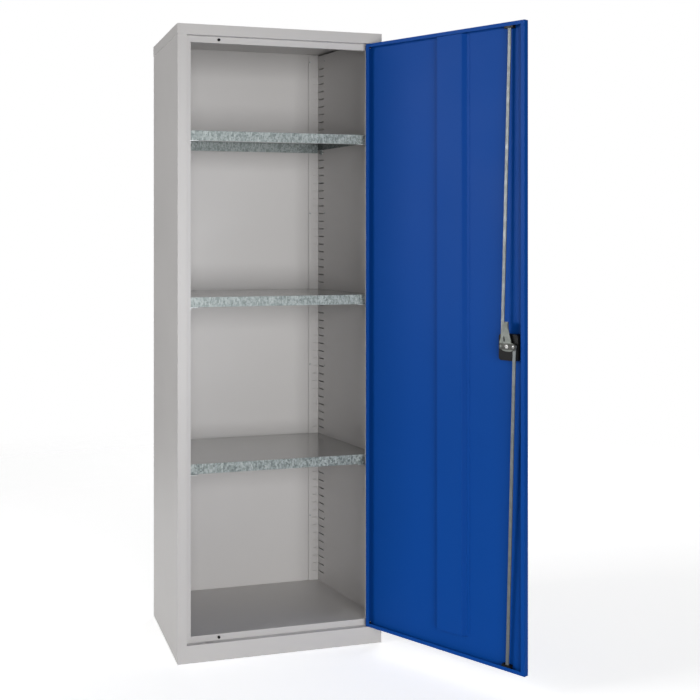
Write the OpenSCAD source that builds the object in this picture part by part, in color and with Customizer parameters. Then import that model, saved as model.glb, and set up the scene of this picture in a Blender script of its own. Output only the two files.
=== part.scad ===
// Storage cupboard with one hinged leaf, three adjustable shelves and a three-point lock.
// Millimetres. X runs to the right, Y to the rear, Z up. The origin is the middle of the footprint.
// Lock and leaf pieces are drawn for the closed leaf and swung open about the pivot line.

/* [Carcass] */
// overall width over the cap
body_w = 610; // [500:1:900]
// overall depth over the cap
body_d = 430; // [350:1:600]
// overall height
body_h = 1800; // [1600:1:2100]
// sheet thickness of every folded panel
sheet = 1; // [0.8:0.1:1.5]
// height of the lip around the cap
cap_lip = 30; // [20:1:50]
// height of the kick plate under the leaf
plinth_h = 50; // [40:1:90]
// width of the front face of a side panel, cap included
face_w = 27; // [22:1:40]
// depth of the recess that the leaf closes into
recess_d = 20; // [19:0.5:30]
// width of the stop flange behind the leaf
stop_w = 15; // [10:1:20]
// depth of the return behind the stop flange
hem_d = 9; // [6:1:11]
// height of the strip under the cap that the leaf closes on
header_h = 18; // [12:1:30]
// height of the sill above the kick plate
sill_h = 18; // [12:1:30]
// width of the foot under the floor tray
foot_w = 18; // [12:1:40]

/* [Inner lining] */
// distance from the outside of the cupboard to the lining
lining_in = 67; // [60:1:90]
// width of the lining flange on the back panel
rear_leg = 31; // [25:1:45]
// setback of the lining behind the stop return
lining_gap = 9; // [6:1:20]
// spacing of the shelf slots
pitch = 25; // [20:5:50]
// height of a shelf slot
slot_h = 4; // [3:0.5:6]
// length of the slots in the lining wall
side_slot = 38; // [20:1:60]
// length of the slots in the lining flange
rear_slot = 13; // [8:1:20]
// distance from the back panel to the side slots
slot_back = 22; // [15:1:40]
// diameter of the rivet heads
rivet_d = 6; // [4:0.5:8]
// distance from the top rivet to the top of the lining
rivet_top = 25; // [15:1:60]
// height of the lowest rivet above the floor
rivet_low = 214; // [100:1:300]
// distance from the side slots to the rivets beside them
rivet_off = 18; // [8:1:30]

/* [Shelves] */
// height of the shelf front
lip_h = 28.4; // [20:0.2:40]
// height of the shelf side flanges
side_lip = 20; // [12:1:26]
// slot that carries the lower shelf, counted from the ground
slot_1 = 21; // [12:1:26]
// slot that carries the middle shelf
slot_2 = 40; // [31:1:45]
// slot that carries the upper shelf
slot_3 = 59; // [50:1:65]
// distance from shelf front to stop return
lip_back = 1; // [0.5:0.5:4]
// length of the shelf front past the lining on each side
ear = 14; // [8:1:18]
// side play between shelf and lining
shelf_play = 0.5; // [0.3:0.1:1.5]

/* [Leaf] */
// opening angle of the leaf
door_open = 118.9; // [0:0.1:122]
// gap around the closed leaf
door_gap = 2; // [1.5:0.1:4]
// thickness of the leaf
door_t = 16; // [14:0.5:18]
// width of the folded flange inside the leaf edge
edge_fold = 12; // [8:1:16]
// height of the folded flange at top and bottom
end_fold = 10; // [6:1:14]
// distance from leaf edge to pivot
pivot_in = 6; // [5:0.5:8]
// distance from leaf face to pivot
pivot_back = 4; // [4:0.5:6]
// pivot pin diameter
pivot_d = 4; // [3:0.5:5]
// radial clearance of pins in bushes
run_gap = 0.05; // [0.02:0.01:0.1]
// distance from the free edge to the stiffener foot
rib_in = 196; // [150:1:260]
// width of the stiffener over its walls
rib_w = 101; // [60:1:140]
// depth of the stiffener
rib_d = 14; // [10:0.5:14]
// side slope of the stiffener walls
rib_slope = 8; // [3:1:15]
// distance from stiffener to leaf ends
rib_end = 56; // [20:1:120]
// distance from the free edge to the buffers
buffer_in = 94; // [80:1:150]

/* [Lock] */
// height of the lock axis
lock_z = 912; // [800:1:1000]
// distance from the free edge to the lock axis
lock_in = 45; // [43:0.5:50]
// width of the recessed dish
dish_w = 60; // [56:1:70]
// height of the recessed dish
dish_h = 70; // [60:1:90]
// depth of the dish behind the leaf face
dish_d = 20; // [18:0.5:20]
// corner radius of the dish
dish_r = 8; // [4:0.5:12]
// wall of the dish
dish_t = 2; // [1.5:0.1:3]
// radius of the two link pins
pin_r = 19.3; // [15:0.1:22]
// link pin diameter
link_d = 6; // [4:0.5:8]
// spindle diameter
spindle_d = 10; // [8:0.5:12]
// thickness of tongue and rods
bar_t = 3; // [2:0.1:3]
// length of the lock tongue
tongue_l = 65; // [50:1:68]
// width of the locking rods
rod_w = 13; // [10:0.5:16]
// depth of the rod ends behind the leaf face
rod_back = 10; // [8:0.5:11]
// distance from free edge to the upper rod end
rod_top_in = 51; // [46:0.5:56]
// distance from free edge to the lower rod end
rod_low_in = 60; // [54:0.5:64]
// side room of the rods in their guides
rod_play = 4; // [3.8:0.1:5]
// straight length of a rod at the cam
rod_root = 34; // [24:1:60]
// straight length of a rod at its end
rod_tip = 70; // [50:1:120]
// length of the turn knob
knob_l = 46; // [36:1:48]
// width of the turn knob
knob_w = 18; // [12:1:24]
// diameter of the key barrel
barrel_d = 14; // [10:0.5:16]

/* [Hidden] */
$fn = 48;
hw = body_w / 2;
hd = body_d / 2;
side_x = hw - sheet;
face_y = -hd + sheet;
rear_y = hd - 2 * sheet;
reveal_x = hw - face_w;
stop_x = reveal_x - stop_w;
stop_y = face_y + recess_d;
hem_y = stop_y + sheet + hem_d;
cap_z = body_h - cap_lip;
roof_z = body_h - sheet;
head_z = cap_z - header_h;
floor_z = plinth_h + sill_h;
lining_x = hw - lining_in;
lining_y = hem_y + lining_gap;
door_w = 2 * (reveal_x - door_gap);
free_x = -door_w / 2;
hinge_x = door_w / 2;
door_z0 = plinth_h + door_gap;
door_z1 = cap_z - door_gap;
pivot_x = hinge_x - pivot_in;
pivot_y = face_y + pivot_back;
lock_x = free_x + lock_in;
dish_x = free_x + lock_in + 3;
tongue_y = face_y + dish_d + 2;
rod_y = tongue_y + bar_t + 0.3;
bar_y = rod_y + bar_t + 0.3;
bar_end = bar_y + 2.5;
rod_end_y = face_y + rod_back;
shelf_y = hem_y + lip_back;
guide_w = rod_w + 2 * rod_play;
rod_top_x = free_x + rod_top_in;
rod_low_x = free_x + rod_low_in;
clip_z = 0.4;
level_1 = slot_1 * pitch - clip_z + lip_h;
level_2 = slot_2 * pitch - clip_z + lip_h;
level_3 = slot_3 * pitch - clip_z + lip_h;
rivet_step = (roof_z - rivet_top - floor_z - rivet_low) / 3;
slot_lo = ceil((floor_z + 12) / pitch);
slot_hi = floor((roof_z - 30) / pitch);
tilt_up = atan((lock_x + pin_r - rod_top_x) / (door_z1 - lock_z));
tilt_low = atan((rod_low_x - lock_x + pin_r) / (lock_z - door_z0));

// Box between two opposite corners.
module box(a, b) {
  translate(a)
    cube(b - a);
}

// Straight fold profile that runs along Z.
module upright(points, z0, z1) {
  translate([0, 0, z0])
    linear_extrude(z1 - z0)
      polygon(points);
}

// Rectangle with rounded corners, drawn in the XZ plane and thickened to the rear.
module tablet(cx, cz, w, h, r, y0, y1) {
  translate([cx, y1, cz])
    rotate([90, 0, 0])
      linear_extrude(y1 - y0)
        union() {
          square([w - 2 * r, h], center = true);
          square([w, h - 2 * r], center = true);
          for (i = [-1, 1], j = [-1, 1])
            translate([i * (w / 2 - r), j * (h / 2 - r)])
              circle(r);
        }
}

// Round bar along Y.
module rod_along_y(x, z, d, y0, y1) {
  translate([x, y1, z])
    rotate([90, 0, 0])
      cylinder(d = d, h = y1 - y0);
}

// Swings a piece of the closed leaf about the pivot line.
module on_leaf() {
  translate([pivot_x, pivot_y, 0])
    rotate([0, 0, door_open])
      translate([-pivot_x, -pivot_y, 0])
        children();
}

// Side panel: wall, front face, recess wall, stop flange, return and rear flange in one fold.
module side_profile() {
  a = -side_x;
  b = -reveal_x;
  c = -stop_x;
  t = sheet;
  upright([
    [a, face_y], [b, face_y], [b, stop_y], [c, stop_y], [c, hem_y], [c - t, hem_y],
    [c - t, stop_y + t], [b - t, stop_y + t], [b - t, face_y + t], [a + t, face_y + t],
    [a + t, rear_y - t], [a + 16, rear_y - t], [a + 16, rear_y], [a, rear_y]
  ], 0, roof_z);
}

// Shelf slots in the return beside the leaf opening.
module return_slots() {
  for (k = [slot_lo : slot_hi])
    box([-stop_x - 2 * sheet, stop_y + 3.7, k * pitch - slot_h / 2],
        [-stop_x + sheet, stop_y + 8.3, k * pitch + slot_h / 2]);
}

module left_side_panel() {
  color([0.73, 0.72, 0.71])
    difference() {
      side_profile();
      return_slots();
      // passage for the lock tongue
      box([-stop_x - 2 * sheet, stop_y + sheet, lock_z - 18],
          [-stop_x + sheet, hem_y + 1, lock_z + tongue_l]);
    }
}

module right_side_panel() {
  color([0.73, 0.72, 0.71])
    mirror([1, 0, 0])
      difference() {
        side_profile();
        return_slots();
      }
}

module back_panel() {
  color([0.78, 0.77, 0.76])
    box([-side_x, rear_y, 0], [side_x, rear_y + sheet, roof_z]);
}

module top_cap() {
  color([0.74, 0.73, 0.72])
    difference() {
      box([-hw, -hd, cap_z], [hw, hd, body_h]);
      box([-hw + sheet, -hd + sheet, cap_z - 1], [hw - sheet, hd - sheet, roof_z]);
    }
}

// Rail under the cap: fixing flange, ledge over the leaf, closing strip and lower fold.
module header_rail() {
  t = sheet;
  color([0.76, 0.75, 0.74])
    difference() {
      union() {
        box([-reveal_x, face_y, cap_z], [reveal_x, face_y + t, cap_z + 20]);
        box([-reveal_x, face_y, cap_z], [reveal_x, stop_y, cap_z + t]);
        box([-stop_x, stop_y - t, cap_z], [stop_x, stop_y + t, cap_z + t]);
        box([-stop_x, stop_y, head_z], [stop_x, stop_y + t, cap_z + t]);
        box([-stop_x, stop_y, head_z], [stop_x, stop_y + 13, head_z + t]);
      }
      // slot for the upper locking rod
      box([rod_top_x - 2.5 - guide_w / 2 - 1, rod_end_y - 2, cap_z - 1],
          [rod_top_x - 2.5 + guide_w / 2 + 1, rod_end_y + bar_t + 2, cap_z + 2]);
      // seat of the upper pivot pin
      translate([pivot_x, pivot_y, cap_z - 1])
        cylinder(d = pivot_d, h = sheet + 2);
    }
}

// Kick plate with the ledge under the leaf.
module plinth_rail() {
  t = sheet;
  color([0.74, 0.73, 0.72])
    difference() {
      union() {
        box([-reveal_x, face_y, 0], [reveal_x, face_y + t, plinth_h]);
        box([-reveal_x, face_y, plinth_h - t], [reveal_x, stop_y, plinth_h]);
        box([-stop_x, stop_y - t, plinth_h - t], [stop_x, stop_y + t, plinth_h]);
        box([-stop_x, stop_y, plinth_h - 11], [stop_x, stop_y + t, plinth_h]);
        box([-reveal_x, face_y, 0], [reveal_x, face_y + 15, t]);
      }
      // slot for the lower locking rod
      box([rod_low_x + 4 - guide_w / 2 - 1, rod_end_y - 2, plinth_h - 2],
          [rod_low_x + 4 + guide_w / 2 + 1, rod_end_y + bar_t + 2, plinth_h + 1]);
      // seat of the lower pivot pin
      translate([pivot_x, pivot_y, plinth_h - 2])
        cylinder(d = pivot_d, h = sheet + 2);
    }
}

// Floor tray: deck and sill, with walls on three sides that end in a foot on the ground.
module floor_pan() {
  t = sheet;
  z1 = floor_z;
  y0 = hem_y + 1;
  a = side_x - t;
  b = side_x - 17;
  color([0.74, 0.73, 0.72])
    union() {
      box([-a, y0, z1 - t], [a, rear_y - t, z1]);
      box([-stop_x, stop_y, z1 - t], [stop_x, hem_y + 2, z1]);
      box([-stop_x, stop_y, plinth_h], [stop_x, stop_y + t, z1]);
      box([-a, y0, 0], [-a + t, rear_y - t, z1]);
      box([a - t, y0, 0], [a, rear_y - t, z1]);
      box([-b, rear_y - 2 * t, z1 - t], [b, rear_y, z1]);
      box([-b, rear_y - t, 0], [b, rear_y, z1]);
      box([-a, y0, 0], [-a + foot_w, rear_y - t, t]);
      box([a - foot_w, y0, 0], [a, rear_y - t, t]);
      box([-b, rear_y - foot_w, 0], [b, rear_y, t]);
    }
}

// Inner lining: slotted wall, slotted rear flange and front flange behind the stop.
module lining() {
  t = sheet;
  x0 = -lining_x;
  color([0.75, 0.74, 0.73])
    difference() {
      upright([
        [x0, lining_y], [x0, rear_y - t], [x0 + rear_leg, rear_y - t], [x0 + rear_leg, rear_y],
        [x0 - t, rear_y], [x0 - t, lining_y + t], [-stop_x, lining_y + t], [-stop_x, lining_y]
      ], floor_z, roof_z);
      for (k = [slot_lo : slot_hi]) {
        box([x0 - 2 * t, rear_y - slot_back - side_slot, k * pitch - slot_h / 2],
            [x0 + t, rear_y - slot_back, k * pitch + slot_h / 2]);
        box([x0 + 5, rear_y - 2 * t, k * pitch - slot_h / 2],
            [x0 + 5 + rear_slot, rear_y + t, k * pitch + slot_h / 2]);
      }
    }
}

module left_lining() {
  lining();
}

module right_lining() {
  mirror([1, 0, 0])
    lining();
}

// Rivet heads that hold the linings.
module lining_rivets() {
  color([0.85, 0.85, 0.85])
    for (s = [-1, 1], k = [0 : 3]) {
      z = floor_z + rivet_low + k * rivet_step;
      translate([s * (lining_x - rear_leg + 5), rear_y - sheet, z])
        rotate([90, 0, 0])
          cylinder(d = rivet_d, h = rivet_d / 5);
      translate([s * lining_x, rear_y - slot_back - side_slot - rivet_off, z])
        rotate([0, -90 * s, 0])
          cylinder(d = rivet_d, h = rivet_d / 5);
    }
}

// Folded shelf with front lip, side flanges and rear flange.
module shelf(z) {
  t = sheet;
  x1 = lining_x - shelf_play;
  xe = lining_x + ear;
  y0 = shelf_y;
  y1 = rear_y - t - 4;
  color([0.72, 0.75, 0.77])
    union() {
      box([-x1, y0, z - t], [x1, y1, z]);
      box([-xe, y0, z - t], [xe, y0 + 7, z]);
      box([-xe, y0, z - lip_h], [xe, y0 + t, z]);
      box([-x1, y0, z - lip_h], [x1, y0 + 14, z - lip_h + t]);
      box([-x1, y0 + 13, z - lip_h], [x1, y0 + 14, z - lip_h + 8]);
      box([-x1, lining_y, z - side_lip], [-x1 + t, y1, z]);
      box([x1 - t, lining_y, z - side_lip], [x1, y1, z]);
      box([-x1, y1 - t, z - lip_h], [x1, y1, z]);
    }
}

module shelf_lower() {
  shelf(level_1);
}

module shelf_middle() {
  shelf(level_2);
}

module shelf_upper() {
  shelf(level_3);
}

// Clip from a slot of the return to the shelf front.
module front_clip(k) {
  zt = k * pitch - clip_z;
  box([-stop_x + 0.4, stop_y + 4, zt - 1.4], [-lining_x - 2, lining_y - 0.4, zt]);
  box([-stop_x - 3, stop_y + 4, zt - 1.4], [-stop_x + 0.5, stop_y + 8, zt]);
  box([-stop_x - 3, stop_y + 4, zt - 7], [-stop_x - 1.6, stop_y + 8, zt]);
  box([-stop_x + 0.4, stop_y + 4, zt - 8], [-stop_x + 1.6, stop_y + 8, zt]);
}

module front_clips() {
  color([0.8, 0.8, 0.8])
    for (k = [slot_1, slot_2, slot_3]) {
      front_clip(k);
      mirror([1, 0, 0])
        front_clip(k);
    }
}

// Clip from a slot of the lining to the shelf side flange.
module rear_clip(k) {
  zs = k * pitch;
  zt = zs - clip_z + lip_h - side_lip;
  y0 = rear_y - slot_back - side_slot / 2 - 8;
  x0 = -lining_x;
  box([x0, y0, zs - 8], [x0 + 1.4, y0 + 16, zt]);
  box([x0, y0, zt - 1.4], [x0 + 11, y0 + 16, zt]);
  box([x0 - 2.8, y0, zs - 1.2], [x0 + 1, y0 + 16, zs + 1.2]);
  box([x0 - 2.8, y0, zs - 7], [x0 - 1.4, y0 + 16, zs + 1.2]);
}

module rear_clips() {
  color([0.8, 0.8, 0.8])
    for (k = [slot_1, slot_2, slot_3]) {
      rear_clip(k);
      mirror([1, 0, 0])
        rear_clip(k);
    }
}

// Rubber buttons that the leaf closes against.
module door_buffers() {
  y0 = face_y + door_t + 0.4;
  color([0.08, 0.08, 0.08])
    for (z = [plinth_h + sill_h / 2, cap_z - header_h / 2 + 0.5])
      rod_along_y(free_x + buffer_in, z, 8, y0, stop_y);
}

// Pivot pin with a head on the far side of its ledge.
module upper_pivot() {
  color([0.6, 0.6, 0.62])
    translate([pivot_x, pivot_y, 0])
      union() {
        translate([0, 0, door_z1 - 12])
          cylinder(d = pivot_d, h = 12 + door_gap + sheet);
        translate([0, 0, cap_z + sheet])
          cylinder(d = pivot_d + 1.6, h = 2.4);
      }
}

module lower_pivot() {
  color([0.6, 0.6, 0.62])
    translate([pivot_x, pivot_y, 0])
      union() {
        translate([0, 0, plinth_h - sheet])
          cylinder(d = pivot_d, h = 12 + door_gap + sheet);
        translate([0, 0, plinth_h - sheet - 2.4])
          cylinder(d = pivot_d + 1.6, h = 2.4);
      }
}

// Leaf: one sheet folded to returns and inner flanges on all four sides.
module door_panel() {
  t = sheet;
  y0 = face_y;
  y1 = face_y + door_t;
  e = edge_fold;
  color([0.05, 0.26, 0.6])
    on_leaf()
      difference() {
        union() {
          upright([
            [free_x, y0], [hinge_x, y0], [hinge_x, y1], [hinge_x - e, y1], [hinge_x - e, y1 - t],
            [hinge_x - t, y1 - t], [hinge_x - t, y0 + t], [free_x + t, y0 + t],
            [free_x + t, y1 - t], [free_x + e, y1 - t], [free_x + e, y1], [free_x, y1]
          ], door_z0, door_z1);
          box([free_x, y0, door_z1 - t], [hinge_x, y1, door_z1]);
          box([free_x, y0, door_z0], [hinge_x, y1, door_z0 + t]);
          box([free_x, y1 - t, door_z1 - end_fold], [hinge_x, y1, door_z1]);
          box([free_x, y1 - t, door_z0], [hinge_x, y1, door_z0 + end_fold]);
        }
        // cut-out for the dish
        tablet(dish_x, lock_z - 3, dish_w, dish_h, dish_r, y0 - 1, y0 + t + 1);
        // rod slots in the top and bottom returns
        box([rod_top_x - guide_w / 2, rod_end_y - 0.5, door_z1 - 2],
            [rod_top_x + guide_w / 2, rod_end_y + bar_t + 0.5, door_z1 + 1]);
        box([rod_low_x - guide_w / 2, rod_end_y - 0.5, door_z0 - 1],
            [rod_low_x + guide_w / 2, rod_end_y + bar_t + 0.5, door_z0 + 2]);
        // seats of the pivot bushes
        translate([pivot_x, pivot_y, door_z0 - 1])
          cylinder(d = pivot_d + 2, h = door_z1 - door_z0 + 2);
      }
}

// Top-hat stiffener welded inside the leaf.
module door_stiffener() {
  t = sheet;
  x0 = free_x + rib_in;
  x1 = x0 + rib_w;
  s = rib_slope;
  y0 = face_y + t;
  y1 = face_y + t + rib_d;
  color([0.05, 0.26, 0.6])
    on_leaf()
      upright([
        [x0 - 10, y0], [x0 + t, y0], [x0 + s + t, y1 - t], [x1 - s - t, y1 - t], [x1 - t, y0],
        [x1 + 10, y0], [x1 + 10, y0 + t], [x1, y0 + t], [x1 - s, y1], [x0 + s, y1],
        [x0, y0 + t], [x0 - 10, y0 + t]
      ], door_z0 + rib_end, door_z1 - rib_end / 5);
}

// Flanged bush in a leaf corner.
module bush(z0, z1, zf) {
  translate([pivot_x, pivot_y, 0])
    difference() {
      union() {
        translate([0, 0, z0])
          cylinder(d = pivot_d + 2, h = z1 - z0);
        translate([0, 0, zf])
          cylinder(d = pivot_d + 3.4, h = door_gap - 0.3);
      }
      translate([0, 0, z0 - 2])
        cylinder(d = pivot_d + 2 * run_gap, h = z1 - z0 + 6);
    }
}

module upper_bush() {
  color([0.15, 0.15, 0.15])
    on_leaf()
      bush(door_z1 - 11, door_z1, door_z1);
}

module lower_bush() {
  color([0.15, 0.15, 0.15])
    on_leaf()
      bush(door_z0, door_z0 + 11, plinth_h + 0.3);
}

// Recessed dish with a bezel on the leaf face.
module handle_dish() {
  zc = lock_z - 3;
  t = dish_t;
  color([0.04, 0.04, 0.04])
    on_leaf()
      difference() {
        union() {
          tablet(dish_x, zc, dish_w, dish_h, dish_r, face_y - 1, face_y + dish_d);
          tablet(dish_x, zc, dish_w + 12, dish_h + 12, dish_r + 5, face_y - 2, face_y);
        }
        tablet(dish_x, zc, dish_w - 2 * t, dish_h - 2 * t, dish_r - t,
               face_y - 3, face_y + dish_d - t);
        rod_along_y(lock_x, lock_z, spindle_d + 2 * run_gap, face_y, face_y + dish_d + 5);
      }
}

// Rod guide held in the end channel of the leaf.
module guide(x, z0, z1) {
  difference() {
    box([x - guide_w / 2 - 2.5, face_y + sheet, z0],
        [x + guide_w / 2 + 2.5, face_y + door_t - sheet, z1]);
    box([x - guide_w / 2, rod_end_y - 0.5, z0 - 1],
        [x + guide_w / 2, rod_end_y + bar_t + 0.5, z1 + 1]);
  }
}

module upper_guide() {
  color([0.05, 0.05, 0.05])
    on_leaf()
      guide(rod_top_x, door_z1 - sheet - 15, door_z1 - sheet);
}

module lower_guide() {
  color([0.05, 0.05, 0.05])
    on_leaf()
      guide(rod_low_x, door_z0 + sheet, door_z0 + sheet + 15);
}

// Turn knob with a seat for the key barrel.
module turn_knob() {
  y0 = face_y + 2;
  y1 = face_y + dish_d - dish_t - 0.4;
  color([0.06, 0.06, 0.06])
    on_leaf()
      difference() {
        union() {
          tablet(lock_x, lock_z, knob_w, knob_l, knob_w / 2 - 0.1, y0, y1 - 3);
          rod_along_y(lock_x, lock_z, 26, y0 + 1, y1);
        }
        rod_along_y(lock_x, lock_z, barrel_d + 2 * run_gap, y0 - 1, y1 - 4);
      }
}

module key_barrel() {
  y0 = face_y + 1.6;
  y1 = face_y + dish_d - dish_t - 4.8;
  color([0.75, 0.75, 0.76])
    on_leaf()
      difference() {
        rod_along_y(lock_x, lock_z, barrel_d, y0, y1);
        box([lock_x - 0.8, y0 - 1, lock_z - 4.5], [lock_x + 0.8, y0 + 7, lock_z + 4.5]);
      }
}

// Spindle through the dish with a collar behind it.
module spindle() {
  color([0.7, 0.7, 0.72])
    on_leaf()
      union() {
        rod_along_y(lock_x, lock_z, spindle_d, face_y + dish_d - dish_t - 0.4, bar_end + 2.4);
        rod_along_y(lock_x, lock_z, spindle_d + 7, face_y + dish_d + 0.3, tongue_y);
      }
}

// Lock tongue that swings behind the stop flange.
module tongue_plate() {
  l = tongue_l;
  w = pin_r + 7.7;
  color([0.66, 0.68, 0.68])
    on_leaf()
      translate([lock_x, 0, lock_z])
        difference() {
          union() {
            translate([0, tongue_y + bar_t, 0])
              rotate([90, 0, 0])
                linear_extrude(bar_t)
                  polygon([
                    [-10, l], [10, l], [11, l - 27], [w - 5, 12], [w, 3], [w, -4], [15, -12],
                    [6, -15], [-6, -15], [-15, -12], [-w, -4], [-w, 3], [5 - w, 12], [-11, l - 27]
                  ]);
            // folded lip along the top and the free edge of the tongue
            box([-10, tongue_y + bar_t, l - 25], [-8.5, tongue_y + bar_t + 3, l]);
            box([-10, tongue_y + bar_t, l - 1.5], [10, tongue_y + bar_t + 3, l]);
          }
          rod_along_y(0, 0, spindle_d, tongue_y - 1, bar_end);
          rod_along_y(-pin_r, 0, link_d, tongue_y - 1, bar_end);
          rod_along_y(pin_r, 0, link_d, tongue_y - 1, bar_end);
          box([4.5, tongue_y - 1, 12], [9.5, bar_end, 29]);
        }
}

// Bar that closes the two rod ends from behind.
module cam_bar() {
  color([0.2, 0.2, 0.2])
    on_leaf()
      difference() {
        tablet(lock_x, lock_z, 2 * pin_r + 17, 17, 8.4, bar_y, bar_end);
        rod_along_y(lock_x, lock_z, spindle_d, bar_y - 1, bar_end + 1);
        rod_along_y(lock_x - pin_r, lock_z, link_d, bar_y - 1, bar_end + 1);
        rod_along_y(lock_x + pin_r, lock_z, link_d, bar_y - 1, bar_end + 1);
      }
}

// Riveted link pins.
module link_pins() {
  color([0.85, 0.85, 0.85])
    on_leaf()
      for (s = [-1, 1]) {
        rod_along_y(lock_x + s * pin_r, lock_z, link_d, tongue_y, bar_end);
        rod_along_y(lock_x + s * pin_r, lock_z, link_d + 3, tongue_y - 1.3, tongue_y);
        rod_along_y(lock_x + s * pin_r, lock_z, link_d + 3, bar_end, bar_end + 1.6);
      }
}

// Nut on the end of the spindle.
module spindle_nut() {
  r = spindle_d * 0.85;
  color([0.8, 0.8, 0.82])
    on_leaf()
      translate([lock_x, bar_end + 4, lock_z])
        rotate([90, 0, 0])
          difference() {
            linear_extrude(4)
              polygon([for (i = [0 : 5]) [r * cos(60 * i), r * sin(60 * i)]]);
            translate([0, 0, 1.6])
              cylinder(d = spindle_d, h = 4);
          }
}

// Flat locking rod: side outline from the link pin to its end, drawn upwards.
module rod(reach) {
  a = rod_y;
  b = rod_end_y;
  t = bar_t;
  difference() {
    union() {
      translate([-rod_w / 2, 0, 0])
        rotate([90, 0, 90])
          linear_extrude(rod_w)
            polygon([
              [a, 0], [a, rod_root], [b, reach - rod_tip], [b, reach], [b + t, reach],
              [b + t, reach - rod_tip], [a + t, rod_root], [a + t, 0]
            ]);
      rod_along_y(0, 0, rod_w, a, a + t);
    }
    rod_along_y(0, 0, link_d + 2 * run_gap, a - 1, a + t + 1);
  }
}

module upper_rod() {
  color([0.7, 0.73, 0.76])
    on_leaf()
      translate([lock_x + pin_r, 0, lock_z])
        rotate([0, -tilt_up, 0])
          rod(door_z1 - lock_z - 2);
}

module lower_rod() {
  color([0.7, 0.73, 0.76])
    on_leaf()
      translate([lock_x - pin_r, 0, lock_z])
        rotate([0, -tilt_low, 0])
          mirror([0, 0, 1])
            rod(lock_z - door_z0 - 2);
}

left_side_panel();
right_side_panel();
back_panel();
top_cap();
header_rail();
plinth_rail();
floor_pan();
left_lining();
right_lining();
lining_rivets();
shelf_lower();
shelf_middle();
shelf_upper();
front_clips();
rear_clips();
door_buffers();
upper_pivot();
lower_pivot();
door_panel();
door_stiffener();
upper_bush();
lower_bush();
handle_dish();
upper_guide();
lower_guide();
turn_knob();
key_barrel();
spindle();
tongue_plate();
cam_bar();
link_pins();
spindle_nut();
upper_rod();
lower_rod();
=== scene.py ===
import math

import bmesh
import bpy
from mathutils import Matrix, Vector
from mathutils.geometry import tessellate_polygon


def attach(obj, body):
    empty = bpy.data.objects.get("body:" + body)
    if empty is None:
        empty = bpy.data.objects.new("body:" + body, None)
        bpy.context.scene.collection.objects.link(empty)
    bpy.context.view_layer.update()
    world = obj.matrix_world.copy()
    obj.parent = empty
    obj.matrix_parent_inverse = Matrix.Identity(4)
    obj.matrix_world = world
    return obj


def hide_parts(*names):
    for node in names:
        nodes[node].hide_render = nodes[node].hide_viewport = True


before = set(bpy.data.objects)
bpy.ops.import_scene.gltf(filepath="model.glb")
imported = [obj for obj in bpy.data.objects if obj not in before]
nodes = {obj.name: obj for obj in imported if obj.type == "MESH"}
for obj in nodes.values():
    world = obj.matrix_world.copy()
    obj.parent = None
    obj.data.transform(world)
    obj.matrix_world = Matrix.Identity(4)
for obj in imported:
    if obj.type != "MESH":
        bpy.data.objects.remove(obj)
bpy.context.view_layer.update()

# Storage cupboard with an open blue leaf: materials, soft studio light and the photographed view.
# Metres, +X to the right, +Y to the rear, +Z up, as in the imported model.

scene = bpy.context.scene

# Photographed view, fitted to the corners of the cupboard and of its leaf. The image is square.
IMAGE = 700  # pixels
FOCAL_PX = 1127.0
CENTRE_PX = (310.2, 234.4)
CAMERA_AT = (-0.862, -3.346, 1.207)
CAMERA_YAW = 16.81  # degrees


def make_camera():
    data = bpy.data.cameras.new("photo_camera")
    data.sensor_width = 36.0
    data.lens = FOCAL_PX / IMAGE * data.sensor_width
    data.shift_x = 0.5 - CENTRE_PX[0] / IMAGE
    data.shift_y = CENTRE_PX[1] / IMAGE - 0.5
    data.clip_start, data.clip_end = 0.05, 100.0
    camera = bpy.data.objects.new("photo_camera", data)
    camera.location = CAMERA_AT
    camera.rotation_euler = (math.radians(90), 0, math.radians(-CAMERA_YAW))
    scene.collection.objects.link(camera)
    scene.camera = camera


class Tree:
    """A small helper that adds nodes to one node tree."""

    def __init__(self, tree):
        self.tree = tree

    def add(self, kind, values=None, **settings):
        """A node of this kind. values sets its sockets, or links them where it holds a socket."""
        node = self.tree.nodes.new(kind)
        for name, value in settings.items():
            setattr(node, name, value)
        for key, value in (values or {}).items():
            socket = node.inputs[key]
            if isinstance(value, bpy.types.NodeSocket):
                self.tree.links.new(value, socket)
            else:
                socket.default_value = value
        return node

    def link(self, a, b):
        self.tree.links.new(a, b)

    def noise(self, where, scale, detail, rough=0.5):
        values = {"Vector": where, "Scale": scale, "Detail": detail, "Roughness": rough}
        return self.add("ShaderNodeTexNoise", values).outputs["Fac"]

    def ramp(self, value, stops, mode="LINEAR"):
        """Colour ramp. Each stop is a position and a colour or a grey."""
        node = self.add("ShaderNodeValToRGB", {"Fac": value})
        node.color_ramp.interpolation = mode
        elements = node.color_ramp.elements
        while len(elements) < len(stops):
            elements.new(0.5)
        for element, (at, colour) in zip(elements, stops):
            element.position = at
            grey_level = isinstance(colour, (int, float))
            element.color = (colour, colour, colour, 1) if grey_level else (*colour, 1)
        return node.outputs["Color"]

    def math(self, operation, a, b=0.0):
        return self.add("ShaderNodeMath", {0: a, 1: b}, operation=operation).outputs[0]

    def bump(self, strength, distance, height, normal):
        values = {"Strength": strength, "Distance": distance, "Height": height, "Normal": normal}
        return self.add("ShaderNodeBump", values).outputs[0]

    def mix(self, amount, a, b):
        """Mixed colour. The node's sockets 6 and 7 and its output 2 are the ones for colours."""
        node = self.add("ShaderNodeMix", {"Factor": amount}, data_type="RGBA")
        for socket, value in ((node.inputs[6], a), (node.inputs[7], b)):
            if isinstance(value, bpy.types.NodeSocket):
                self.tree.links.new(value, socket)
            else:
                socket.default_value = (*value, 1)
        return node.outputs[2]

    def range(self, value, low, high, to_low, to_high):
        values = {
            "Value": value, "From Min": low, "From Max": high, "To Min": to_low, "To Max": to_high,
        }
        return self.add("ShaderNodeMapRange", values).outputs["Result"]


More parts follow.
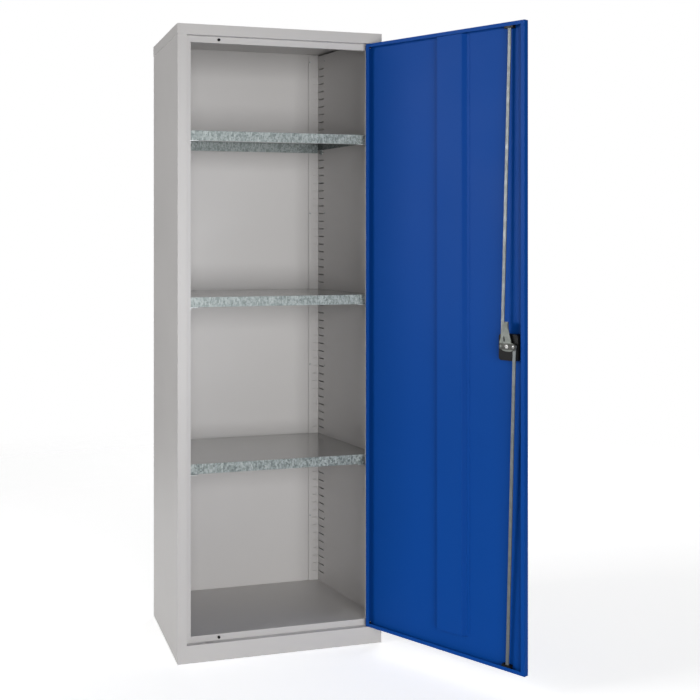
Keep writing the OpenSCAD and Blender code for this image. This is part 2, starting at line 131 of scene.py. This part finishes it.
def new_material(name):
    material = bpy.data.materials.new(name)
    material.use_nodes = True
    material.node_tree.nodes.clear()
    tree = Tree(material.node_tree)
    output = tree.add("ShaderNodeOutputMaterial")
    shader = tree.add("ShaderNodeBsdfPrincipled")
    tree.link(shader.outputs[0], output.inputs["Surface"])
    where = tree.add("ShaderNodeTexCoord").outputs["Object"]
    return material, tree, shader, where


EDGE_FROM, EDGE_TO = 0.995, 0.80  # cosine between true and rounded normal, at mask 0 and 1


def edge_mask(tree, radius):
    """Mask that is white where the rounded normal leaves the true one, and the rounded normal."""
    rounded = tree.add("ShaderNodeBevel", {"Radius": radius}, samples=4).outputs["Normal"]
    plain = tree.add("ShaderNodeNewGeometry").outputs["Normal"]
    dot = tree.add("ShaderNodeVectorMath", {0: rounded, 1: plain}, operation="DOT_PRODUCT")
    return tree.range(dot.outputs["Value"], EDGE_FROM, EDGE_TO, 0.0, 1.0), rounded


def powder_coat(name, colour, dark, light, roughness, specular):
    """Baked powder paint: fine orange peel, faint clouding, and edges painted lighter, partly as
    thin worn coat and partly as a painted highlight.
    """
    material, tree, shader, where = new_material(name)
    edges, rounded = edge_mask(tree, radius=0.0006)
    clouds = tree.noise(where, scale=2.2, detail=3.0)
    base = tree.mix(tree.range(clouds, 0.2, 0.8, 0.0, 1.0), dark, colour)
    grain = tree.noise(where, scale=1400.0, detail=1.0)
    base = tree.mix(tree.range(grain, 0.3, 0.7, 0.0, 0.12), base, light)
    # Edges painted lighter: a painted highlight, mixed in patches with thin worn coat.
    patches = tree.noise(where, scale=90.0, detail=3.0)
    worn_and_highlit = tree.range(patches, 0.35, 0.7, 0.1, 0.55)
    base = tree.mix(tree.math("MULTIPLY", edges, worn_and_highlit), base, light)
    tree.link(base, shader.inputs["Base Color"])
    waves = tree.noise(where, scale=6.0, detail=1.0)
    rough = tree.range(waves, 0.2, 0.8, roughness - 0.03, roughness + 0.03)
    tree.link(rough, shader.inputs["Roughness"])
    shader.inputs["Specular IOR Level"].default_value = specular
    peel = tree.noise(where, scale=620.0, detail=2.0)
    tree.link(tree.bump(0.12, 0.0001, peel, rounded), shader.inputs["Normal"])
    return material


def galvanised(name):
    """Hot-dip zinc sheet: small spangles on the upright faces, which are painted darker as shade;
    smooth and lighter on the level ones; edges painted lighter as a highlight.
    """
    material, tree, shader, where = new_material(name)
    edges, rounded = edge_mask(tree, radius=0.0007)
    facing = tree.add("ShaderNodeTexCoord").outputs["Normal"]
    upward = tree.add("ShaderNodeSeparateXYZ", {0: facing}).outputs["Z"]
    level = tree.range(tree.math("ABSOLUTE", upward), 0.6, 0.9, 0.0, 1.0)

    wobble = tree.add("ShaderNodeTexNoise", {"Vector": where, "Scale": 90.0, "Detail": 2.0})
    slight = {0: wobble.outputs["Color"], "Scale": 0.005}
    shift = tree.add("ShaderNodeVectorMath", slight, operation="SCALE")
    bent = tree.add("ShaderNodeVectorMath", {0: where, 1: shift.outputs[0]}, operation="ADD")
    cells = tree.add("ShaderNodeTexVoronoi", {"Vector": bent.outputs[0], "Scale": 210.0})
    tone = tree.add("ShaderNodeSeparateColor", {0: cells.outputs["Color"]}).outputs[0]
    # Upright faces: spangles and drawn streaks in colours darkened as painted shade.
    spangled_and_shaded = tree.ramp(tone, [
        (0.0, (0.082, 0.100, 0.100)), (0.5, (0.142, 0.166, 0.165)), (1.0, (0.29, 0.325, 0.322)),
    ])
    fine = tree.noise(where, scale=900.0, detail=3.0)
    drawn = tree.add("ShaderNodeMapping", {"Vector": where, "Scale": (1.0, 1.0, 0.25)}).outputs[0]
    streaks = tree.range(tree.noise(drawn, scale=320.0, detail=3.0), 0.45, 0.75, 0.0, 0.7)
    spangled_and_shaded = tree.mix(streaks, spangled_and_shaded, (0.42, 0.455, 0.448))

    clouds = tree.noise(where, scale=14.0, detail=3.0)
    cloudy = tree.range(clouds, 0.35, 0.65, 0.0, 1.0)
    smooth = tree.mix(cloudy, (0.44, 0.435, 0.425), (0.50, 0.495, 0.485))
    smooth = tree.mix(tree.range(tone, 0.0, 1.0, 0.0, 0.18), smooth, (0.42, 0.43, 0.42))
    base = tree.mix(level, spangled_and_shaded, smooth)
    # Painted highlight along the edges.
    base = tree.mix(tree.math("MULTIPLY", edges, 0.55), base, (0.55, 0.58, 0.58))
    tree.link(base, shader.inputs["Base Color"])
    shader.inputs["Metallic"].default_value = 0.65

    dull = tree.range(tone, 0.0, 1.0, 0.36, 0.54)
    glossy = tree.range(clouds, 0.3, 0.7, 0.13, 0.22)
    rough = tree.add("ShaderNodeMix", {"Factor": level, "A": dull, "B": glossy}, data_type="FLOAT")
    tree.link(rough.outputs[0], shader.inputs["Roughness"])
    height = tree.math("ADD", tree.math("MULTIPLY", tone, 0.5), tree.math("MULTIPLY", fine, 0.2))
    strength = tree.range(level, 0.0, 1.0, 0.35, 0.05)
    tree.link(tree.bump(strength, 0.0003, height, rounded), shader.inputs["Normal"])
    return material


def plated(name, colour, dark, metallic, roughness):
    """Plated or rolled steel: lengthwise rolling lines, faint stains and edges painted brighter as
    a highlight.
    """
    material, tree, shader, where = new_material(name)
    edges, rounded = edge_mask(tree, radius=0.0006)
    along = tree.add("ShaderNodeMapping", {"Vector": where, "Scale": (1.0, 1.0, 0.06)}).outputs[0]
    lines = tree.noise(along, scale=1500.0, detail=3.0)
    stains = tree.noise(where, scale=55.0, detail=4.0, rough=0.6)
    base = tree.mix(tree.range(stains, 0.35, 0.7, 0.0, 0.8), colour, dark)
    base = tree.mix(tree.range(lines, 0.35, 0.65, 0.0, 0.2), base, dark)
    # Painted highlight along the edges.
    light = tuple(min(1.0, c * 1.5) for c in colour)
    base = tree.mix(tree.math("MULTIPLY", edges, 0.45), base, light)
    tree.link(base, shader.inputs["Base Color"])
    shader.inputs["Metallic"].default_value = metallic
    rough = tree.range(stains, 0.3, 0.7, roughness - 0.06, roughness + 0.08)
    tree.link(rough, shader.inputs["Roughness"])
    tree.link(tree.bump(0.2, 0.0001, lines, rounded), shader.inputs["Normal"])
    return material


def moulded(name, colour, light, roughness):
    """Moulded black plastic or rubber with a fine spark texture, and edges painted lighter, partly
    as scuffs and partly as a painted highlight.
    """
    material, tree, shader, where = new_material(name)
    edges, rounded = edge_mask(tree, radius=0.0009)
    grain = tree.noise(where, scale=1900.0, detail=2.0)
    scuff = tree.noise(where, scale=130.0, detail=4.0, rough=0.6)
    base = tree.mix(tree.range(grain, 0.35, 0.65, 0.0, 0.3), colour, light)
    # Edges painted lighter: a painted highlight, broken up by scuff noise.
    scuffed_and_highlit = tree.range(scuff, 0.4, 0.7, 0.1, 0.7)
    base = tree.mix(tree.math("MULTIPLY", edges, scuffed_and_highlit), base, light)
    tree.link(base, shader.inputs["Base Color"])
    rough = tree.range(scuff, 0.3, 0.7, roughness - 0.08, roughness + 0.08)
    tree.link(rough, shader.inputs["Roughness"])
    shader.inputs["Specular IOR Level"].default_value = 0.15
    tree.link(tree.bump(0.3, 0.00012, grain, rounded), shader.inputs["Normal"])
    return material


def dress(material, names):
    for name in names:
        mesh = nodes[name].data
        mesh.materials.clear()
        mesh.materials.append(material)


CAD_SHARP = math.radians(40)  # folds of CAD nodes sharper than this are rounded


def round_edges(names, width, segments=2):
    """Small rounds on the outer edges, which catch the light."""
    for name in names:
        bevel = nodes[name].modifiers.new("edge_round", "BEVEL")
        bevel.width = width
        bevel.segments = segments
        bevel.limit_method = "ANGLE"
        bevel.angle_limit = CAD_SHARP


make_camera()

grey = powder_coat(
    "grey_powder_coat", colour=(0.585, 0.570, 0.560), dark=(0.56, 0.545, 0.535),
    light=(0.66, 0.65, 0.64), roughness=0.32, specular=0.36)
blue = powder_coat(
    "blue_powder_coat", colour=(0.0020, 0.054, 0.285), dark=(0.0016, 0.049, 0.262),
    light=(0.014, 0.105, 0.40), roughness=0.42, specular=0.06)
zinc_sheet = galvanised("galvanised_sheet")
zinc_steel = plated(
    "zinc_steel", colour=(0.50, 0.53, 0.54), dark=(0.33, 0.35, 0.35), metallic=0.85,
    roughness=0.36)
rolled_steel = plated(
    "rolled_steel", colour=(0.20, 0.215, 0.22), dark=(0.135, 0.148, 0.15), metallic=0.6,
    roughness=0.45)
yellowed_zinc = plated(
    "yellowed_zinc", colour=(0.19, 0.205, 0.19), dark=(0.125, 0.135, 0.125), metallic=0.65,
    roughness=0.45)
dark_steel = plated(
    "dark_steel", colour=(0.075, 0.075, 0.068), dark=(0.04, 0.04, 0.037), metallic=0.6,
    roughness=0.38)
bright_steel = plated(
    "bright_steel", colour=(0.50, 0.50, 0.49), dark=(0.36, 0.36, 0.35), metallic=0.85,
    roughness=0.30)
plastic = moulded(
    "black_plastic", colour=(0.0045, 0.0045, 0.0050), light=(0.018, 0.018, 0.019), roughness=0.36)
rubber = moulded(
    "black_rubber", colour=(0.010, 0.010, 0.010), light=(0.030, 0.030, 0.030), roughness=0.70)

# The CAD nodes that stay in sight.
dress(grey, [
    "left_side_panel", "right_side_panel", "back_panel", "top_cap", "header_rail",
    "plinth_rail", "floor_pan",
])
dress(blue, ["door_panel", "door_stiffener"])
dress(zinc_steel, ["front_clips", "upper_pivot", "lower_pivot"])
dress(bright_steel, ["key_barrel"])
dress(plastic, [
    "handle_dish", "turn_knob", "upper_guide", "lower_guide", "upper_bush", "lower_bush",
])
dress(rubber, ["door_buffers"])
round_edges(["top_cap", "plinth_rail", "door_panel"], width=0.0003)
round_edges(["handle_dish", "turn_knob"], width=0.0008, segments=3)
round_edges(["key_barrel"], width=0.0004)

SHARP = math.radians(35)  # folds of new pieces sharper than this keep their edge
MM_PER_METRE = 1000
MERGE = 0.00001  # metres: points closer than this become one


class Shape:
    """Points and faces in millimetres, gathered into one mesh."""

    def __init__(self):
        self.points, self.faces, self.slots = [], [], []

    def add(self, points, faces, slot=0):
        start = len(self.points)
        self.points += [tuple(p) for p in points]
        self.faces += [tuple(start + i for i in face) for face in faces]
        self.slots += [slot] * len(faces)

    def plate(self, outline, holes, low, high, place):
        """A flat plate with holes. place turns (u, v, height) into a point."""
        loops = [outline] + holes
        flat = [p for loop in loops for p in loop]
        triangles = tessellate_polygon([[Vector((u, v, 0)) for u, v in loop] for loop in loops])
        count = len(flat)
        points = [place(u, v, height) for height in (low, high) for u, v in flat]
        faces = [(a, b, c) for a, b, c in triangles]
        faces += [(c + count, b + count, a + count) for a, b, c in triangles]
        first = 0
        for loop in loops:
            n = len(loop)
            for i in range(n):
                a, b = first + i, first + (i + 1) % n
                faces.append((a, b, b + count, a + count))
            first += n
        self.add(points, faces)

    def turned(self, profile, place, steps, slot=0):
        """A turned form from radii and heights. place turns (x, y, height) into a point."""
        points, faces = [], []
        for radius, height in profile:
            for i in range(steps):
                turn = 2 * math.pi * i / steps
                points.append(place(radius * math.cos(turn), radius * math.sin(turn), height))
        for row in range(len(profile) - 1):
            for i in range(steps):
                a, b = row * steps + i, row * steps + (i + 1) % steps
                faces.append((a, b, b + steps, a + steps))
        faces.append(tuple(range(steps)))
        faces.append(tuple(range((len(profile) - 1) * steps, len(profile) * steps)))
        self.add(points, faces, slot)

    def piece(self, name, body, stands_for, finish, materials, matrix=None, bevel=0.0, sheet=0.0):
        """The finished object, which rides on its body and stands for its node.

        bevel and sheet are in metres. A sheet is open faces that a modifier makes this thick.
        """
        mesh = bpy.data.meshes.new(name)
        points = [tuple(c / MM_PER_METRE for c in p) for p in self.points]
        mesh.from_pydata(points, [], self.faces)
        mesh.polygons.foreach_set("material_index", self.slots)
        for material in materials:
            mesh.materials.append(material)
        joined = bmesh.new()
        joined.from_mesh(mesh)
        bmesh.ops.remove_doubles(joined, verts=joined.verts, dist=MERGE)
        if not sheet:
            bmesh.ops.recalc_face_normals(joined, faces=joined.faces)
        joined.to_mesh(mesh)
        joined.free()
        if matrix:
            mesh.transform(matrix)
        if sheet:
            mesh.shade_flat()
        else:
            mesh.shade_smooth()
            mesh.set_sharp_from_angle(angle=SHARP)
        piece = bpy.data.objects.new(name, mesh)
        scene.collection.objects.link(piece)
        if sheet:
            thick = piece.modifiers.new("sheet", "SOLIDIFY")
            thick.thickness, thick.offset = sheet, 1.0
            thick.use_even_offset = True
        if bevel:
            soft = piece.modifiers.new("edge_round", "BEVEL")
            soft.width, soft.segments, soft.limit_method = bevel, 2, "ANGLE"
            soft.angle_limit = SHARP
        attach(piece, body)
        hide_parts(stands_for)


# Linings, shelves and lock are drawn in millimetres.
# The lining's wall runs back from the front corner at a slant, and its leg lies before the back.
FLOOR_Z, LINING_TOP = 68.0, 1793.0
FRONT_Y, WALL_END_Y, LEG_Y = -175.0, 212.0, 209.0
FRONT_X, BACK_X, LEG_X = 300.0, 238.0, 207.0
SLANT = (FRONT_X - BACK_X) / (WALL_END_Y - FRONT_Y)
FOLD_X, FOLD_DEPTH = 303.0, 15.0  # the narrow fold at the front post
LINING_SHEET = 0.0009  # metres

# Slot k lies k pitches above the ground.
SLOT_PITCH, SLOT_HALF = 25.0, 1.6
FIRST_SLOT, LAST_SLOT = 4, 70
WALL_SLOT_Y, LEG_SLOT_X = (167.0, 204.0), (233.0, 220.0)

# Shelves, and the clips that hold them.
LEVELS = {"shelf_lower": 553.0, "shelf_middle": 1028.0, "shelf_upper": 1503.0}
SHELF_FRONT, SHELF_BACK, SHELF_PLAY = -183.0, 208.0, 0.5
SHELF_SHEET, SIDE_LIP = 1.0, 20.0
DECK_FROM = 0.9  # the deck starts inside the sheet of the front lip
LIP, LIP_DEPTH, LIP_END = 28.4, 14.0, 20.4  # the front lip's drop, its depth and its end's drop
LIP_CLEAR, LIP_CLOSE = 3.0, 3.1  # what the lip lacks at each side, and the strip that closes it
SHELF_SLOTS = (21, 40, 59)
CLIP_Y, CLIP_SHEET, CLIP_REACH = 185.5, 1.4, 11.0
CLIP_HALF, CLIP_RISE = 8.0, 8.0  # half the width and half the height

RIVET_ROWS, RIVET_FIRST, RIVET_PITCH = 4, 214.0, 497.3
WALL_RIVET_Y, LEG_RIVET_X = 160.0, 212.0


def wall_x(y):
    return BACK_X + (WALL_END_Y - y) * SLANT


def make_lining(node, side):
    """One folded sheet: fold at the post, slanting wall with slots, and leg with slots."""
    plan = [(FOLD_X, FRONT_Y + FOLD_DEPTH), (FOLD_X, FRONT_Y), (FRONT_X, FRONT_Y)]
    plan += [(wall_x(y), y) for y in (*WALL_SLOT_Y, LEG_Y)]
    plan += [(x, LEG_Y) for x in (*LEG_SLOT_X, LEG_X)]
    slotted = (3, 6)  # stretches of the plan, counted from the fold
    heights, open_row = [FLOOR_Z], []
    for k in range(FIRST_SLOT, LAST_SLOT + 1):
        heights += [k * SLOT_PITCH - SLOT_HALF, k * SLOT_PITCH + SLOT_HALF]
        open_row += [False, True]
    heights.append(LINING_TOP)
    open_row.append(False)
    shape = Shape()
    points = [(side * x, y, z) for z in heights for x, y in plan]
    wide = len(plan)
    faces = []
    for row, is_open in enumerate(open_row):
        for i in range(wide - 1):
            if is_open and i in slotted:
                continue
            a = row * wide + i
            quad = (a, a + 1, a + 1 + wide, a + wide)
            faces.append(quad if side > 0 else quad[::-1])
    shape.add(points, faces)
    shape.piece(node + "_sheet", "carcass", node, "grey_powder_coat", [grey], sheet=LINING_SHEET)


def make_shelf(node, z):
    """Folded shelf that widens to the front: deck, front lip, and side and rear flanges."""
    front, back, low = SHELF_FRONT, SHELF_BACK, z - LIP
    sheet, end = SHELF_SHEET, z - LIP_END
    a, b, m = (wall_x(y) - SHELF_PLAY for y in (front, back, FRONT_Y))

    def level(u, v, h):
        return (u, v, h)

    def across(u, v, h):
        return (h, u, v)

    shape = Shape()
    deck = [(-a, front + DECK_FROM), (a, front + DECK_FROM), (b, back), (-b, back)]
    shape.plate(deck, [], z - sheet, z, level)
    deep = front + LIP_DEPTH
    lip = [
        (front, z), (front, low), (deep, low), (deep, end),
        (deep - sheet, end), (deep - sheet, low + sheet), (front + sheet, low + sheet),
        (front + sheet, z),
    ]
    shape.plate(lip, [], -a + LIP_CLEAR, a - LIP_CLEAR, across)
    middle = z - sheet / 2
    for s in (-1, 1):
        flange = [
            (s * m, FRONT_Y), (s * b, back), (s * (b - sheet), back), (s * (m - sheet), FRONT_Y),
        ]
        shape.plate(flange, [], z - SIDE_LIP, middle, level)
        strip = [
            (s * (a - LIP_CLOSE), front), (s * a, front),
            (s * a, front + sheet), (s * (a - LIP_CLOSE), front + sheet),
        ]
        shape.plate(strip, [], low, z, level)
    rear = [(-b, back - sheet), (b, back - sheet), (b, back), (-b, back)]
    shape.plate(rear, [], low, middle, level)
    shape.piece(node + "_folded", "carcass", node, "galvanised_sheet", [zinc_sheet], bevel=0.0003)


def on_wall(side, y):
    """The function that puts a fitting's (inward, along the wall, height) on the wall at y."""
    turn = math.atan(SLANT)
    inward = (-side * math.cos(turn), -math.sin(turn))
    along = (-side * math.sin(turn), math.cos(turn))
    x = side * wall_x(y)
    return lambda u, v, h: (x + inward[0] * u + along[0] * v, y + inward[1] * u + along[1] * v, h)


def make_wall_fittings():
    """Domed rivet heads and the shelf clips hooked into the wall slots."""
    dome = [(3.0, 0.0), (2.8, 0.5), (2.2, 0.95), (1.2, 1.2), (0.2, 1.25)]
    rivets, clips = Shape(), Shape()
    for side in (-1, 1):
        on_rivet, on_clip = on_wall(side, WALL_RIVET_Y), on_wall(side, CLIP_Y)
        for k in range(RIVET_ROWS):
            z, x = FLOOR_Z + RIVET_FIRST + k * RIVET_PITCH, side * LEG_RIVET_X
            rivets.turned(dome, lambda a, b, h: (x + a, LEG_Y - h, z + b), steps=20)
            rivets.turned(dome, lambda a, b, h: on_rivet(h, a, z + b), steps=20)
        for k in SHELF_SLOTS:
            slot = k * SLOT_PITCH
            foot, top = slot - CLIP_RISE, slot + CLIP_RISE
            ledge = top - CLIP_SHEET
            fold = [
                (0.0, foot), (CLIP_SHEET, foot), (CLIP_SHEET, ledge),
                (CLIP_REACH, ledge), (CLIP_REACH, top), (0.0, top),
            ]
            hook = [
                (0.1, slot - 1.2), (0.1, slot + 1.2), (-2.4, slot + 1.2),
                (-2.4, slot - 7), (-1.2, slot - 7), (-1.2, slot - 1.2),
            ]
            for outline in (fold, hook):
                clips.plate(outline, [], -CLIP_HALF, CLIP_HALF, lambda u, v, h: on_clip(u, h, v))
    rivets.piece("lining_rivet_heads", "carcass", "lining_rivets", "zinc_steel", [zinc_steel])
    clips.piece(
        "rear_clip_hooks", "carcass", "rear_clips", "zinc_steel", [zinc_steel], bevel=0.0002)


# Lock, drawn on the closed leaf and swung open about the pivot line.
# PIN is the distance of a link pin from the spindle.
OPEN_DEGREES = 118.9
PIVOT = Vector((0.270, -0.210, 0.0))  # metres
LOCK_X, LOCK_Z, PIN = -231.0, 912.0, 19.3
ROD_Y, ROD_END_Y, ROD_T, ROD_HALF = -192.0, -204.0, 3.3, 4.5
ROD_ROOT, ROD_TIP = 34.0, 70.0  # straight lengths at the pin and at the end
EYE_RADIUS = 6
TONGUE_Y, TONGUE_T, BAR_Y, BAR_END = -188.3, 2.6, -185.4, -183.2
STEM_Y, COLLAR_Y = -196.4, -193.7
FOLD_SINK, FOLD_RISE = 0.3, 2.5  # the tongue's lip starts inside the plate and stands this high
NUT_RADIUS, NUT_HOLE, NUT_HIGH = 5.6, 2.6, 2.1
SWING = Matrix.Rotation(math.radians(OPEN_DEGREES), 4, "Z")
SWUNG = Matrix.Translation(PIVOT) @ SWING @ Matrix.Translation(-PIVOT)


def circle(x, z, radius, steps=28):
    turns = [2 * math.pi * i / steps for i in range(steps)]
    return [(x + radius * math.cos(t), z + radius * math.sin(t)) for t in turns]


def at_lock(u, v, h):
    return (LOCK_X + u, h, LOCK_Z + v)


def make_tongue():
    """Lock tongue with its slot and a folded lip along the free edge and the top."""
    w, top = PIN + 6, 65
    outline = [
        (-2, top), (15.3, top), (15.3, 44), (w, 10), (w, -4), (15, -11), (6, -13), (-6, -13),
        (-15, -11), (-w, -4), (-w, 3), (5 - w, 8.5), (-11.5, 9.5), (-10, 17.6), (-7.5, 25.5),
        (-4.7, 36), (-2, 48),
    ]
    window = [(8.7, 12.6), (13.1, 12.6), (13.1, 25.5), (8.7, 25.5)]
    back = TONGUE_Y + TONGUE_T
    shape = Shape()
    shape.plate(outline, [window], TONGUE_Y, back, at_lock)
    along_side = [(-2, top - 17), (-0.5, top - 17), (-0.5, top), (-2, top)]
    along_top = [(-0.5, top - 1.5), (15.3, top - 1.5), (15.3, top), (-0.5, top)]
    for lip in (along_side, along_top):
        shape.plate(lip, [], back - FOLD_SINK, back + FOLD_RISE, at_lock)
    shape.piece(
        "tongue_pressed", "lock_cam", "tongue_plate", "zinc_steel", [yellowed_zinc], SWUNG,
        bevel=0.0004)


def make_bar_and_pins():
    """Bar over the tongue, the two riveted pins, the spindle with its collar and the small nut."""
    half, high = PIN + 6.5, 8.5
    bar = Shape()
    ends = circle(0, 0, high, steps=32)
    right = [(half - high + u, v) for u, v in ends if u > 0.01]
    left = [(high - half + u, v) for u, v in ends if u < -0.01]
    right.sort(key=lambda p: p[1])
    left.sort(key=lambda p: -p[1])
    bar.plate(right + left, [], BAR_Y, BAR_END, at_lock)
    bar.piece("lock_bar", "lock_cam", "cam_bar", "dark_steel", [dark_steel], SWUNG, bevel=0.0005)

    pins = Shape()
    for u, slot in ((-PIN, 0), (PIN, 1)):
        head = [
            (4.5, ROD_Y - 1.5), (4.5, ROD_Y - 0.3), (3, ROD_Y - 0.2), (3, BAR_END), (4.2, BAR_END),
            (4.2, BAR_END + 0.9), (3.4, BAR_END + 1.4), (0.6, BAR_END + 1.5),
        ]
        pins.turned(head, lambda a, b, h: at_lock(u + a, b, h), steps=28, slot=slot)
    pins.piece(
        "riveted_pins", "lock_cam", "link_pins", "zinc_steel", [bright_steel, yellowed_zinc],
        SWUNG)

    stem = Shape()
    profile = [
        (4, STEM_Y), (4, COLLAR_Y), (8.5, COLLAR_Y), (8.5, TONGUE_Y), (4, TONGUE_Y), (4, BAR_END),
        (2.5, BAR_END), (2.5, BAR_END + 2.2), (2.1, BAR_END + 2.6),
    ]
    stem.turned(profile, at_lock, steps=32)
    stem.piece("lock_spindle", "lock_cam", "spindle", "zinc_steel", [bright_steel], SWUNG)

    nut = Shape()
    hexagon = circle(0, 0, NUT_RADIUS, steps=6)
    nut.plate(hexagon, [circle(0, 0, NUT_HOLE)], BAR_END, BAR_END + NUT_HIGH, at_lock)
    nut.piece(
        "small_nut", "lock_cam", "spindle_nut", "zinc_steel", [bright_steel], SWUNG, bevel=0.0003)


def make_rod(node, body, pin_u, end_x, reach, way):
    """Flat rod with a round eye at the pin. It leans to its guide and steps towards the face."""
    pin_x = LOCK_X + pin_u
    lean = (end_x - pin_x) / reach
    side = [
        (ROD_Y, 0), (ROD_Y, ROD_ROOT), (ROD_END_Y, reach - ROD_TIP), (ROD_END_Y, reach),
    ]
    outline = side + [(y + ROD_T, z) for y, z in reversed(side)]

    def leaning(u, v, h):
        return (pin_x + h + v * lean, u, LOCK_Z + way * v)

    shape = Shape()
    shape.plate(outline, [], -ROD_HALF, ROD_HALF, leaning)
    eye = circle(pin_x, LOCK_Z, EYE_RADIUS)
    shape.plate(eye, [], ROD_Y, ROD_Y + ROD_T, lambda u, v, h: (u, h, v))
    shape.piece(node + "_flat", body, node, "zinc_steel", [rolled_steel], SWUNG, bevel=0.0003)


make_lining("left_lining", -1)
make_lining("right_lining", 1)
for node, height in LEVELS.items():
    make_shelf(node, height)
make_wall_fittings()
make_tongue()
make_bar_and_pins()
make_rod("upper_rod", "rod_up", pin_u=PIN, end_x=-227.0, reach=854.0, way=1)
make_rod("lower_rod", "rod_down", pin_u=-PIN, end_x=-218.5, reach=858.0, way=-1)

# Light that the surroundings give, up to 20 degrees above the horizon and overhead, and the lift
# that keeps the floor white where the camera sees it.
WORLD_LOW, WORLD_HIGH = 0.07, 0.05
LOW_UNTIL, HIGH_FROM = 0.35, 0.65  # sine of the height
FLOOR_GLOW = 0.51
FLOOR_HALF, FADE_FROM, FADE_TO = 6.0, 1.5, 3.6


def make_floor():
    """A pale studio floor around the cupboard that fades into the white surroundings."""
    mesh = bpy.data.meshes.new("studio_floor")
    signs = ((-1, -1), (1, -1), (1, 1), (-1, 1))
    corners = [(x * FLOOR_HALF, y * FLOOR_HALF, 0) for x, y in signs]
    mesh.from_pydata(corners, [], [(0, 1, 2, 3)])
    floor = bpy.data.objects.new("studio_floor", mesh)
    floor.location.z = -0.0005  # clear of the cupboard's underside
    scene.collection.objects.link(floor)
    material, tree, shader, where = new_material("studio_floor")
    tone = tree.range(tree.noise(where, scale=0.7, detail=2.0), 0.3, 0.7, 0.0, 1.0)
    tree.link(tree.mix(tone, (0.93, 0.93, 0.93), (0.95, 0.95, 0.95)), shader.inputs["Base Color"])
    shader.inputs["Roughness"].default_value = 0.9
    shader.inputs["Specular IOR Level"].default_value = 0.1
    shader.inputs["Emission Color"].default_value = (1, 1, 1, 1)
    seen = tree.add("ShaderNodeLightPath").outputs["Is Camera Ray"]
    tree.link(tree.math("MULTIPLY", seen, FLOOR_GLOW), shader.inputs["Emission Strength"])
    radius = tree.add("ShaderNodeVectorMath", {0: where}, operation="LENGTH").outputs["Value"]
    tree.link(tree.range(radius, FADE_FROM, FADE_TO, 1.0, 0.0), shader.inputs["Alpha"])
    mesh.materials.append(material)


def make_world():
    """Surroundings that the camera sees at full white, and that light the part far less."""
    world = bpy.data.worlds.new("studio")
    scene.world = world
    world.use_nodes = True
    tree = Tree(world.node_tree)
    world.node_tree.nodes.clear()
    direction = tree.add("ShaderNodeTexCoord").outputs["Generated"]
    height = tree.add("ShaderNodeSeparateXYZ", {0: direction}).outputs["Z"]
    glow = tree.ramp(height, [
        (0.0, WORLD_LOW), (LOW_UNTIL, WORLD_LOW), (HIGH_FROM, WORLD_HIGH), (1.0, WORLD_HIGH),
    ], "EASE")
    lighting = tree.add("ShaderNodeBackground", {"Color": glow, "Strength": 1.0})
    seen = tree.add("ShaderNodeBackground", {"Color": (1, 1, 1, 1), "Strength": 1.0})
    to_camera = tree.add("ShaderNodeLightPath").outputs["Is Camera Ray"]
    sides = {0: to_camera, 1: lighting.outputs[0], 2: seen.outputs[0]}
    both = tree.add("ShaderNodeMixShader", sides)
    tree.link(both.outputs[0], tree.add("ShaderNodeOutputWorld").inputs["Surface"])


def softbox(name, at, target, size, power):
    """A rectangular light that faces its target, in metres and watts."""
    data = bpy.data.lights.new(name, "AREA")
    data.shape = "RECTANGLE"
    data.size, data.size_y = size
    data.energy = power
    light = bpy.data.objects.new(name, data)
    light.location = at
    light.rotation_euler = (Vector(target) - Vector(at)).to_track_quat("-Z", "Y").to_euler()
    scene.collection.objects.link(light)


make_floor()
make_world()
softbox(
    "front_softbox", at=(-0.05, -5.2, 1.1), target=(0.0, 0.0, 0.9), size=(3.0, 2.4), power=172)
softbox(
    "left_softbox", at=(-4.5, -0.3, 1.9), target=(0.0, 0.0, 1.0), size=(2.0, 2.2), power=128)
softbox(
    "overhead_softbox", at=(0.8, -0.6, 4.6), target=(0.1, 0.0, 0.0), size=(3.4, 3.4), power=12)
# This one lights the back and the right side, which the photographed view doesn't show.
softbox(
    "rear_softbox", at=(3.2, 3.8, 2.3), target=(0.0, 0.1, 0.9), size=(3.0, 3.0), power=125)

scene.view_settings.view_transform = "Standard"
scene.view_settings.look = "None"
